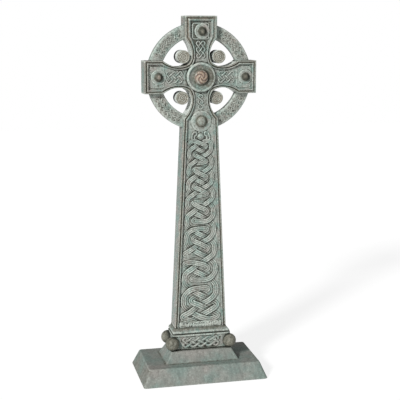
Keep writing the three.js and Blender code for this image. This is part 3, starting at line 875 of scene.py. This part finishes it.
# %% Plaits of the head and the die
ARM_PLAIT = {"columns": 4, "rows": 6, "start": 21.5, "end": 44, "half": 7.4, "ribbon": 1.15}
TOP_PLAIT = {"columns": 4, "rows": 6, "start": 21.5, "end": 45, "half": 5.9, "ribbon": 1.0}
LOW_PLAIT = {"columns": 2, "rows": 6, "start": 20.5, "end": 40, "half": 3.9, "ribbon": 1.15}
ARM_STYLE = {"rises": (0.2, 1.3), "steps": 5, "warp": 0.12}
RING_OUTER = 66.0
RING_INNER = 49.6
RING_HALF_DEPTH = 4.6
PLAIT_COLUMNS = 4
RING_PLAIT_ROWS = 14
RING_PLAIT_HALF = 5.6
RING_PLAIT_RIBBON = 1.0
RING_PLAIT_ANGLES = (24, 66)
RING_STYLE = {"rises": (0.0, 0.6), "steps": 4, "warp": 0.16, "brown": 0.25}
WEAVE_LENGTH = 51
WEAVE_HEIGHT = 13.4
WEAVE_Z = 44.9
WEAVE_ROWS = 10
WEAVE_RIBBON = 1.55
WEAVE_STYLE = {"rises": (0.2, 1.2), "steps": 7, "warp": 0.12}
DIE_HALF_Y = 14.4


def arm_plait(cast, size, turn):
    """A plait that runs out along an arm. turn is the arm's angle from the right, in degrees."""
    angle = math.radians(turn)
    outward = np.array((math.cos(angle), math.sin(angle)))
    sideways = np.array((-math.sin(angle), math.cos(angle)))
    for strand in plait_strands(size["columns"], size["rows"]):
        out = size["start"] + (size["end"] - size["start"]) * strand[:, 1] / size["rows"]
        side = (2 * strand[:, 0] / size["columns"] - 1) * size["half"]
        flat = outward * out[:, None] + sideways * side[:, None]
        spots = np.column_stack([flat[:, 0], strand[:, 2], HEAD_Z + flat[:, 1]])
        lay_ribbon(cast, spots, size["ribbon"], PANEL_FLOOR, **ARM_STYLE)


def ring_plait(cast, start, end):
    """A plait bent round a quarter of the wheel, between two angles in degrees."""
    middle = (RING_OUTER + RING_INNER) / 2
    for strand in plait_strands(PLAIT_COLUMNS, RING_PLAIT_ROWS):
        angle = np.radians(start + (end - start) * strand[:, 1] / RING_PLAIT_ROWS)
        radius = middle + (2 * strand[:, 0] / PLAIT_COLUMNS - 1) * RING_PLAIT_HALF
        spots = np.column_stack([radius * np.cos(angle), strand[:, 2], HEAD_Z + radius * np.sin(angle)])
        lay_ribbon(cast, spots, RING_PLAIT_RIBBON, -RING_HALF_DEPTH, **RING_STYLE)


def die_weave(cast):
    for strand in plait_strands(PLAIT_COLUMNS, WEAVE_ROWS):
        x = (strand[:, 1] / WEAVE_ROWS - 0.5) * WEAVE_LENGTH
        z = WEAVE_Z + (strand[:, 0] / PLAIT_COLUMNS - 0.5) * WEAVE_HEIGHT
        spots = np.column_stack([x, strand[:, 2], z])
        lay_ribbon(cast, spots, WEAVE_RIBBON, -DIE_HALF_Y, **WEAVE_STYLE)


for size, turn in ((ARM_PLAIT, 0), (ARM_PLAIT, 180), (TOP_PLAIT, 90), (LOW_PLAIT, 270)):
    arm_plait(cast, size, turn)
for quarter in range(4):
    ring_plait(cast, *(90 * quarter + angle for angle in RING_PLAIT_ANGLES))
die_weave(cast)
print("with its plaits the casting has", cast.count, "points")

# %% [markdown]
# The wheel is a ring with soft arrises, thinner than the cross. In each armpit sits a roll, a short
# thick rod that runs through from front to back, with a spiral cut into its front end. Its sides carry a
# chalky painted highlight in front and are dark behind the ring.

# %% Wheel and rolls
# radius from the inner edge and depth from the middle, as shares of the ring's width and half depth
RING_SECTION = [
    (0, -0.7), (0.03, -0.92), (0.09, -1), (0.5, -1), (0.91, -1), (0.97, -0.92), (1, -0.7),
    (1, 0), (1, 0.7), (0.97, 0.92), (0.9, 1), (0.5, 1), (0.1, 1), (0.03, 0.92),
    (0, 0.7), (0, 0),
]
RING_STEPS = 240
RING_EDGE_FROM = 0.96
RING_FACE_FROM = 0.95
RING_EDGE_CUT = 0.55
RING_PALE = 0.6
# across from the middle, up from the middle of the head, and how far it stands towards the front
ROLLS = [(-22, 24.6, 12.6), (22.8, 24.6, 12.6), (-22.8, -25.6, 9.4), (20.8, -25.8, 9.4)]
ROLL_RADIUS = 8.1
ROLL_BACK = 9.4
ROLL_STEPS = 48
ROLL_FACE = np.arange(0.05, 0.86, 0.045)
# radius as a share and depth below the end face, from the spiral out to the side
ROLL_RIM = [(0.90, 0.02), (0.95, 0.16), (0.985, 0.5), (1.0, 1.1)]
# how far back along the side as a share of its length, cut, pale; the pale in front is a painted
# highlight
ROLL_SIDE = [(0.10, 0.0, 2.0), (0.35, 0.0, 2.2), (0.52, 0.0, 2.0), (0.60, 2.6, 0.0), (0.95, 2.6, 0.0)]
SPIRAL_PITCH = 0.27
SPIRAL_DEPTH = 0.65
SPIRAL_REACH = 0.88
SPIRAL_CUT = 0.75
ROLL_FACE_PALE = 0.15
ROLL_BACK_BROWN = 0.3


def wheel(cast):
    angle = np.linspace(0, 2 * math.pi, RING_STEPS, endpoint=False)[:, None]
    share, depth = np.array(RING_SECTION).T
    radius = RING_INNER + (RING_OUTER - RING_INNER) * share
    y = RING_HALF_DEPTH * depth + 0 * angle
    points = np.stack([radius * np.cos(angle), y, HEAD_Z + radius * np.sin(angle)], -1)
    front = depth < -RING_FACE_FROM
    cut = np.where(share > RING_EDGE_FROM, RING_EDGE_CUT, 0)
    cast.add(points, skin((RING_STEPS, len(RING_SECTION)), along=True),
             cut=np.tile(cut, RING_STEPS), pale=np.tile(front * RING_PALE, RING_STEPS))


def armpit_roll(cast, x, z, front):
    angle = np.linspace(0, 2 * math.pi, ROLL_STEPS, endpoint=False)[None, :]
    share = np.concatenate([ROLL_FACE, [row[0] for row in ROLL_RIM]])[:, None]
    drop = np.concatenate([0 * ROLL_FACE, [row[1] for row in ROLL_RIM]])[:, None]
    spiral = 0.5 - 0.5 * np.cos(2 * math.pi * share / SPIRAL_PITCH - angle * np.sign(x))
    carved = np.where(share < SPIRAL_REACH, spiral, 0)
    side = np.array(ROLL_SIDE)
    around = np.ones((1, ROLL_STEPS))
    front_y = -front + drop + SPIRAL_DEPTH * carved
    side_y = side[:, :1] * (front + ROLL_BACK) - front
    y = np.concatenate([front_y, side_y * around, ROLL_BACK - drop[::-1] * around])
    radius = ROLL_RADIUS * np.concatenate([share, 0 * side[:, :1] + 1, share[::-1]])
    grid = np.stack([x + radius * np.cos(angle), y, HEAD_Z + z + radius * np.sin(angle)], -1)
    plain = 0 * carved
    cut = np.concatenate([carved * SPIRAL_CUT, side[:, 1:2] * around, plain])
    pale = np.concatenate([plain + ROLL_FACE_PALE, side[:, 2:3] * around, plain])
    brown = np.concatenate([plain + 1, 0 * side[:, :1] * around, plain + ROLL_BACK_BROWN])
    close_ends(cast, grid, cut=cut, pale=pale, brown=brown)


def close_ends(cast, grid, **paint):
    """Adds a shell made of rings of points, with a fan of triangles over its first and its last ring."""
    count, size = grid.shape[:2]
    points = grid.reshape(-1, 3)
    walls = skin((count, size))
    here = np.arange(size)
    there = (here + 1) % size
    tip = len(points)
    base = (count - 1) * size
    fans = [np.stack([np.full(size, tip), here, there], -1),
            np.stack([np.full(size, tip + 1), base + there, base + here], -1)]
    triangles = np.concatenate([walls[:, [0, 1, 2]], walls[:, [0, 2, 3]], *fans])
    for label, value in paint.items():
        value = np.broadcast_to(np.ravel(value), len(points))
        paint[label] = np.append(value, [value[0], value[-1]])
    tips = [grid[0].mean(axis=0), grid[-1].mean(axis=0)]
    cast.add(np.concatenate([points, tips]), triangles, **paint)


wheel(cast)
for x, z, front in ROLLS:
    armpit_roll(cast, x, z, front)
print("with its wheel and rolls the casting has", cast.count, "points")

# %% [markdown]
# Bosses are turned forms. The middle one is a dish with a raised rim round a knob, and a whirl of
# curved cuts is carved in the knob. A small boss stands in each arm, and a larger one on the shaft.
# Rims carry a painted highlight on the left, the lamp's side, and a painted shade lies on the right of
# each knob, in a belt on its flank.

# %% Bosses
# radius, height above the face, cut, copper, brown, pale
CENTRE_BOSS = [
    (0.7, 5.5, 0, 1, 0, 0), (1.8, 5.4, 0, 1, 0, 0), (3, 5.2, 0, 1, 0, 0),
    (4.2, 4.9, 0, 1, 0, 0), (5.4, 4.45, 0, 1, 0.1, 0), (6.6, 3.8, 0.2, 0.8, 0.5, 0),
    (7.7, 2.9, 0.4, 0.5, 0.9, 0), (8.6, 1.7, 0.9, 0.2, 0.8, 0), (9.2, 0.6, 1.2, 0, 0.5, 0),
    (10, 0, 1.3, 0, 0.3, 0), (11.5, -0.25, 1, 0, 0.2, 0), (13.2, -0.1, 0.9, 0, 0.1, 0),
    (14.4, 0.35, 0.8, 0, 0.1, 0), (15.1, 1.2, 0.4, 0, 0, 0.1), (15.8, 1.75, 0.2, 0, 0, 0.4),
    (16.6, 1.85, 0.1, 0, 0, 0.5), (17.4, 1.5, 0.2, 0, 0, 0.4), (18.1, 0.5, 0.4, 0, 0, 0.1),
    (18.4, -0.8, 0.7, 0, 0, 0), (18.4, -3, 0.7, 0, 0, 0),
]
SMALL_BOSS = [
    (0.5, 3.4, 0.1, 1, 0.3, 0), (1.3, 3.25, 0.1, 1, 0.3, 0), (2.2, 2.8, 0.2, 1, 0.3, 0),
    (3.1, 2, 0.4, 1, 0.4, 0), (4, 0.8, 0.7, 0.8, 0.6, 0), (4.6, -0.3, 1.1, 0.3, 0.6, 0),
    (5.1, -1.6, 1.4, 0, 0.3, 0), (5.8, -2.3, 1.1, 0, 0.2, 0), (7, -2.5, 0.4, 0, 0, 0.4),
    (7.9, -2.4, 0.1, 0, 0, 0.6), (8.7, -2.2, 0, 0, 0, 0.7), (9.3, -2.2, 0, 0, 0, 0.6),
    (9.9, -2.5, 0.1, 0, 0, 0.4), (10.2, -2.9, 0.4, 0, 0, 0.2), (10.2, -3.6, 0.5, 0, 0, 0),
]
# across from the middle, up from the middle of the head, steps, size, copper, brown, grime on the knob
SMALL_BOSSES = [
    (-52.6, 0, 44, 0.95, 0.3, 1, 1.1), (57, 0, 44, 0.9, 0.3, 1, 1.2),
    (1.8, 55.4, 44, 0.95, 0, 1.4, 1.2), (0.8, -54.2, 52, 1.3, 0.08, 0.2, 0),
]
WHIRL_ARMS = 4
WHIRL_TWIST = 1.178
WHIRL_START = 0.9
WHIRL_REACH = 8.2
WHIRL_FADE = 1.2
WHIRL_DEPTH = 0.9
WHIRL_BARE = 0.7
LIT_SIDE = (-0.9, 0.3)
RIM_PALE = 0.35
RIM_HIGHLIGHT = 1.6
FLANK_EDGE = 0.2
FLANK_HEIGHT = 1.4
FLANK_REACH = 2.2
FLANK_SHADE = 1.1


def boss(cast, profile, x, z, steps, side=-1, scale=1.0, whirl=0.0, copper=1.0, brown=0.0, grime=0.0):
    """copper, brown and grime say how strongly the knob shows each. A value past 1 lies thicker."""
    angle = np.linspace(0, 2 * math.pi, steps, endpoint=False)[None, :]
    radius, height, cut, knob, stain, pale = (column[:, None] for column in np.array(profile).T)
    radius = radius * scale
    arms = 0.5 - 0.5 * np.cos(WHIRL_ARMS * angle - WHIRL_TWIST * radius)
    inner = np.clip((radius - WHIRL_START) / WHIRL_FADE, 0, 1)
    carved = whirl * arms ** 2 * np.clip((WHIRL_REACH - radius) / WHIRL_FADE, 0, 1) * inner
    y = side * (HALF_DEPTH + height - WHIRL_DEPTH * carved)
    # the rims are paler on the side towards the lamp, a painted highlight
    lit = np.clip(LIT_SIDE[0] * np.cos(angle) + LIT_SIDE[1] * np.sin(angle), 0, 1)
    pale = pale * (RIM_PALE + (RIM_HIGHLIGHT - RIM_PALE) * lit)
    # a belt of painted shade on the right flank of each knob, the side away from the lamp
    flank = np.clip(1 - np.abs(height - FLANK_HEIGHT) / FLANK_REACH, 0, 1)
    right_flank_shade = FLANK_SHADE * flank * np.clip((1 + FLANK_EDGE) * np.cos(angle) - FLANK_EDGE, 0, 1)
    grid = np.stack([x + radius * np.cos(angle), y, z + radius * np.sin(angle)], -1)
    brown = np.maximum(stain, knob * brown) * np.ones((1, steps))
    close_ends(cast, grid, cut=cut + carved + right_flank_shade + knob * grime, pale=pale, brown=brown,
               copper=knob * copper * (1 - WHIRL_BARE * carved))


boss(cast, CENTRE_BOSS, 0, HEAD_Z, 88, whirl=1.0)
boss(cast, CENTRE_BOSS, 0, HEAD_Z, 64, side=1, copper=0.3)
for x, z, steps, size, copper, brown, grime in SMALL_BOSSES:
    boss(cast, SMALL_BOSS, x, HEAD_Z + z, steps, scale=size, copper=copper, brown=brown, grime=grime)
print("with its bosses the casting has", cast.count, "points")

# %% [markdown]
# Small carving fills what is left of the panels. Thin frames surround the bosses of the arms, two curls
# and a round knop close the knot under the low boss, and a sill below the knot carries two rows of short
# strokes, no two quite alike, which spell nothing.

# %% Frames, curls and sill
FRAME_STYLE = {"rises": (0.3, 0.7), "steps": 2, "pale": 0.5}
FRAME_RIBBON = 0.75
FRAME_CORNER = 2.0
FRAME_SPACING = 4.0
# middle across and up from the centre of the head, half width and half height
BOSS_FRAMES = [(-54.6, 0, 8.6, 12.2), (54.6, 0, 8.6, 12.2), (0, 55.6, 10.0, 9.4)]
KNOP_Z = 309.5
KNOP = [
    (0.5, -0.3, 0, 0, 0, 0.3), (1.6, -0.45, 0, 0, 0, 0.3), (2.8, -0.9, 0, 0, 0, 0.2),
    (3.8, -1.6, 0.3, 0, 0.2, 0), (4.4, -2.5, 0.9, 0, 0.2, 0), (4.5, -3.6, 1, 0, 0, 0),
]
CURL_STYLE = {"rises": (0.8, 2.0), "steps": 7, "warp": 0.1}
CURL_RIBBON = 1.25
# across from the middle, up, height
CURL = [
    (3, 304.5, 0.2), (6.4, 301.6, 0.7), (10.4, 304.2, 0.9), (11.2, 309.5, 0.8), (9.2, 314.4, 0.7),
    (5.8, 315.2, 0.5), (5.2, 312, 0.3), (7.6, 309.8, 0.4), (7.4, 306.6, 0.6),
]
# how far in each line of a bar lies, as a share of its half width, and how far below its top. The line
# marked None is at its foot.
BAR_LINES = [(0.0, None), (0.0, 0.3), (0.25, 0), (0.6, 0), (0.95, 0)]
BAR_CORNER = 0.4
SILL = {"half_x": 27.6, "half_z": 3.6, "z": 67.6, "top": 0.9, "pale": 0.9}
STROKE_PLACES = np.arange(-24.5, 25, 2.25)
STROKE_ROWS = (69.3, 66.0)
STROKE_HALF = 1.15
STROKE_RISE = 0.55
STROKE_PALE = 1.35
STROKE_SEED = 7
# the least and the most of a stroke's half width, its shift and its lean
STROKE_LEAST, STROKE_MOST = (0.45, -0.5, -0.5), (0.8, 0.5, 0.5)


def soft_rectangle(half_x, half_y, corner, spacing=2.6, turns=4):
    """A rectangle with round corners, as x and y, going round from the right-hand side."""
    def arc(quarter):
        side_x, side_y = [(1, 1), (-1, 1), (-1, -1), (1, -1)][quarter % 4]
        angle = math.pi / 2 * (quarter + np.arange(turns + 1) / turns)
        middle = (side_x * (half_x - corner), side_y * (half_y - corner))
        return middle + corner * np.column_stack([np.cos(angle), np.sin(angle)])

    ring = []
    for quarter in range(4):
        steps = max(2, round(2 * (half_x, half_y)[quarter % 2] / spacing))
        ring += [arc(quarter)[:-1], straight(arc(quarter)[-1], arc(quarter + 1)[0], steps)]
    return np.concatenate(ring)


def bar(cast, x, z, half_x, half_z, foot_y, top_y, lean=0.0, spacing=2.6, turns=3, **paint):
    """A low bar with soft edges on a surface that faces the front. lean is how far its top slants."""
    rings = []
    for inset, drop in BAR_LINES:
        y = foot_y if drop is None else top_y + drop
        narrow = 1 - inset * half_z / half_x
        ring = soft_rectangle(half_x, half_z, min(half_x, half_z) * BAR_CORNER, spacing, turns)
        ring = ring * ((narrow, 1 - inset) if half_x > half_z else (1 - inset, narrow))
        across = x + ring[:, 0] + lean * ring[:, 1]
        rings.append(np.column_stack([across, np.full(len(ring), y), z + ring[:, 1]]))
    close_ends(cast, np.stack(rings), **paint)


def frames_and_curls(cast):
    for x, z, half_x, half_z in BOSS_FRAMES:
        ring = soft_rectangle(half_x, half_z, FRAME_CORNER, FRAME_SPACING, 2)
        spots = np.column_stack([x + ring[:, 0], np.full(len(ring), 0.5), HEAD_Z + z + ring[:, 1]])
        lay_ribbon(cast, spots, FRAME_RIBBON, PANEL_FLOOR, **FRAME_STYLE)
    for side in (-1, 1):
        curl = np.array([(side * across, height, up) for across, up, height in CURL])
        lay_ribbon(cast, curl, CURL_RIBBON, PANEL_FLOOR, **CURL_STYLE)
    boss(cast, KNOP, 0, KNOP_Z, 24, copper=0)


def sill_and_strokes(cast):
    top_y = SILL["top"] - HALF_DEPTH
    bar(cast, 0, SILL["z"], SILL["half_x"], SILL["half_z"], PANEL_FLOOR + 1, top_y, pale=SILL["pale"])
    wander = np.random.default_rng(STROKE_SEED)
    for z in STROKE_ROWS:
        for x in STROKE_PLACES:
            size, shift, lean = wander.uniform(STROKE_LEAST, STROKE_MOST)
            bar(cast, x + shift, z, size, STROKE_HALF * wander.uniform(0.8, 1.1), top_y + 0.2,
                top_y - STROKE_RISE, lean, 3.0, 1, pale=STROKE_PALE)


frames_and_curls(cast)
print("with its frames and curls the casting has", cast.count, "points")

# %% [markdown]
# Under the shaft comes a cornice of thin fillets, then a die block with a ball at each corner. Both
# are stacks of rectangles with soft corners, drawn from the bottom up.

# %% Cornice, die and balls
PLINTH_TOP = 35.4
JOINT_GAP = 0.3
# height, half width, half depth, cut; the cut at the foot of the die and just under the cornice is
# partly a painted shade
DIE_LEVELS = [
    (PLINTH_TOP + JOINT_GAP, 35, 13.8, 0.8), (36.4, 35.6, 14.4, 0), (40, 35.6, 14.4, 0),
    (44, 35.6, 14.4, 0), (48, 35.6, 14.4, 0), (52, 35.6, 14.4, 0.3), (53.8, 35.6, 14.4, 1),
]
# the cut on the cornice's underside and where the shaft stands on it is partly a painted shade
CORNICE_LEVELS = [
    (53.5, 36.4, 15.6, 0.9), (53.7, 37, 16.2, 0.2), (55.6, 37.1, 16.3, 0), (56, 36.7, 15.9, 0.4),
    (56.2, 35.9, 15.2, 1), (57.3, 35.8, 15.1, 1), (57.6, 36.5, 15.8, 0.3), (58.1, 36.7, 16, 0),
    (59.9, 36.5, 15.8, 0), (60.4, 36, 15.3, 0), (61.2, 34.9, 14.2, 0.3), (62.4, 34.2, 13.5, 0.5),
    (64, 33.7, 13, 0.6),
]
CORNER_ROUND = 0.7
BALL_RADIUS = 8.8
BALL_X = 37.5
BALL_Y = 15.2
BALL_BROWN = 0.9
BALL_COPPER = 0.12
BALL_CUT = 1.38
CORNICE_DARKER = 0.75
# the darkening on the left starts at this share of the half width, and lies only below this height
LEFT_STARTS = 0.9
LEFT_BELOW = 20


def stack(cast, levels, corner, spacing=2.6, darker=0.0, left_darker=0.0):
    """Rectangles one on another. darker is added to every cut, and left_darker on the lower left side."""
    widest = max(levels, key=lambda level: level[1])[1:3]
    shape = soft_rectangle(*widest, corner, spacing) / widest
    rings = [np.column_stack([shape * level[1:3], np.full(len(shape), level[0])]) for level in levels]
    left = np.clip((LEFT_STARTS + shape[:, 0]) / (LEFT_STARTS - 1), 0, 1) * left_darker
    cut = np.concatenate([level[3] + darker + left * (level[0] < LEFT_BELOW) for level in levels])
    close_ends(cast, np.stack(rings), cut=cut)


def corner_ball(cast, side_x, side_y, rows=16, columns=30):
    tilt = np.linspace(0, math.pi, rows + 2)[1:-1][:, None]
    turn = np.linspace(0, 2 * math.pi, columns, endpoint=False)[None, :]
    x = side_x * BALL_X + BALL_RADIUS * np.sin(tilt) * np.cos(turn)
    y = side_y * BALL_Y + BALL_RADIUS * np.sin(tilt) * np.sin(turn)
    z = PLINTH_TOP + JOINT_GAP + BALL_RADIUS + BALL_RADIUS * np.cos(tilt) + 0 * turn
    close_ends(cast, np.stack([x, y, z], -1), brown=BALL_BROWN, copper=BALL_COPPER, cut=BALL_CUT)


sill_and_strokes(cast)
stack(cast, DIE_LEVELS, CORNER_ROUND)
stack(cast, CORNICE_LEVELS, CORNER_ROUND, darker=CORNICE_DARKER)
for side_x, side_y in ((-1, -1), (1, -1), (-1, 1), (1, 1)):
    corner_ball(cast, side_x, side_y)
print("with its foot the casting has", cast.count, "points")

# %% [markdown]
# The plinth is the second casting: a low block with sloping sides and a smaller step on it. Its faces
# are divided so that a dark wash, which also paints the shade of the crease, can settle at the foot of
# the step. The left side of the block is painted darker.

# %% Plinth
# height, half width, half depth, cut; the cut at the foot of the block, in the crease of the step and
# under the die is a dark wash that also paints their shade
PLINTH_LEVELS = [
    (0, 79.6, 47.1, 0.6), (0.5, 80.1, 47.6, 0.2), (1.2, 80.4, 47.9, 0), (1.9, 80.1, 47.6, 0),
    (5, 78.8, 46.3, 0), (9, 77.1, 44.6, 0), (13, 75.4, 42.9, 0), (17, 73.7, 41.2, 0),
    (19.8, 72.5, 40.1, 0), (20.6, 72.1, 39.7, 0), (21.1, 71.6, 39.2, 0), (21.3, 71, 38.6, 0),
    (21.3, 70, 38, 0), (21.3, 64, 34.5, 0), (21.3, 57, 31, 0.1), (21.3, 51, 28.4, 0.4),
    (21.3, 49.2, 27.4, 0.9), (21.4, 48, 26.4, 1.1), (21.9, 47.5, 26, 0.9), (23, 46.8, 25.4, 0.3),
    (26, 45, 24.1, 0), (30, 42.5, 22.1, 0), (33.8, 40.3, 20.5, 0), (34.7, 39.8, 20, 0),
    (35.2, 39.3, 19.5, 0), (35.4, 38.6, 19, 0), (35.4, 36.8, 16.6, 0.4), (35.4, 34, 13, 0.9),
]
PLINTH_CORNER = 3.0
PLINTH_SPACING = 3.0
PLINTH_DARKER = 0.2
PLINTH_LEFT_DARKER = 1.0
foot = Casting()
stack(foot, PLINTH_LEVELS, PLINTH_CORNER, PLINTH_SPACING, PLINTH_DARKER, PLINTH_LEFT_DARKER)
print("the plinth has", foot.count, "points")

# %% [markdown]
# All the shells now become two meshes, which take the place of the plain solids. Both are in the search
# tree, so that dirt and painted shade gather on the plinth where the die and the balls stand on it.

# %% Cross and plinth
def stand_piece(name, mesh, node, finish):
    piece = bpy.data.objects.new(name, mesh)
    bpy.context.scene.collection.objects.link(piece)
    mesh.materials.append(finish)
    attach(piece, "root")
    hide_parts(node)


neighbours = search_tree([cast, foot])
stand_piece("cross_casting", cast.mesh("cross_casting", neighbours), "cross", cross_finish)
stand_piece("plinth_casting", foot.mesh("plinth_casting", neighbours), "plinth", plinth_finish)

# %% [markdown]
# The studio is as plain as can be: a white floor that glows a little, as a light table does, a lamp low
# on the left that rakes across the carving, and a dim even surround that fills the shadows.

# %% Studio
KEY_AZIMUTH = 44
KEY_HEIGHT = 28
KEY_POWER = 4.0
KEY_SOFTNESS = 9
FILL = 0.35
FLOOR_SIZE = 6
FLOOR_GREY = 0.22
FLOOR_GLOW = 0.81


def studio():
    bpy.ops.mesh.primitive_plane_add(size=FLOOR_SIZE)
    floor = bpy.context.object
    floor.name = "floor"
    paint, wire = new_finish("pale floor")
    body = wire.node("ShaderNodeBsdfPrincipled", {}, {
        "Base Color": (FLOOR_GREY, FLOOR_GREY, FLOOR_GREY, 1),
        "Roughness": 0.9,
        "Specular IOR Level": 0.0,
        "Emission Color": (1, 1, 1, 1),
        "Emission Strength": FLOOR_GLOW,
    })
    wire.node("ShaderNodeOutputMaterial", {}, {"Surface": body})
    floor.data.materials.append(paint)
    floor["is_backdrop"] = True
    lamp = bpy.data.lights.new("key", "SUN")
    lamp.energy = KEY_POWER
    lamp.angle = math.radians(KEY_SOFTNESS)
    key = bpy.data.objects.new("key", lamp)
    key.rotation_euler = (math.radians(90 - KEY_HEIGHT), 0, -math.radians(KEY_AZIMUTH))
    bpy.context.scene.collection.objects.link(key)


def surround():
    world = bpy.data.worlds.new("white surround")
    world.use_nodes = True
    world.node_tree.nodes.clear()
    wire = Wire(world.node_tree)
    seen = wire.node("ShaderNodeLightPath", {}, {}, "Is Camera Ray")
    light = wire.node("ShaderNodeBackground", {},
                      {"Color": (1, 1, 1, 1), "Strength": seen * (1 - FILL) + FILL})
    wire.node("ShaderNodeOutputWorld", {}, {"Surface": light})
    bpy.context.scene.world = world
    bpy.context.scene.view_settings.view_transform = "Standard"


studio()
surround()
print("the lamp stands", KEY_AZIMUTH, "degrees to the left")

# %% [markdown]
# The last cell prints the box of the dressed model.

# %% Print the dressed box
low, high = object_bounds()
print("the dressed model reaches from", [round(v, 4) for v in low], "to", [round(v, 4) for v in high])
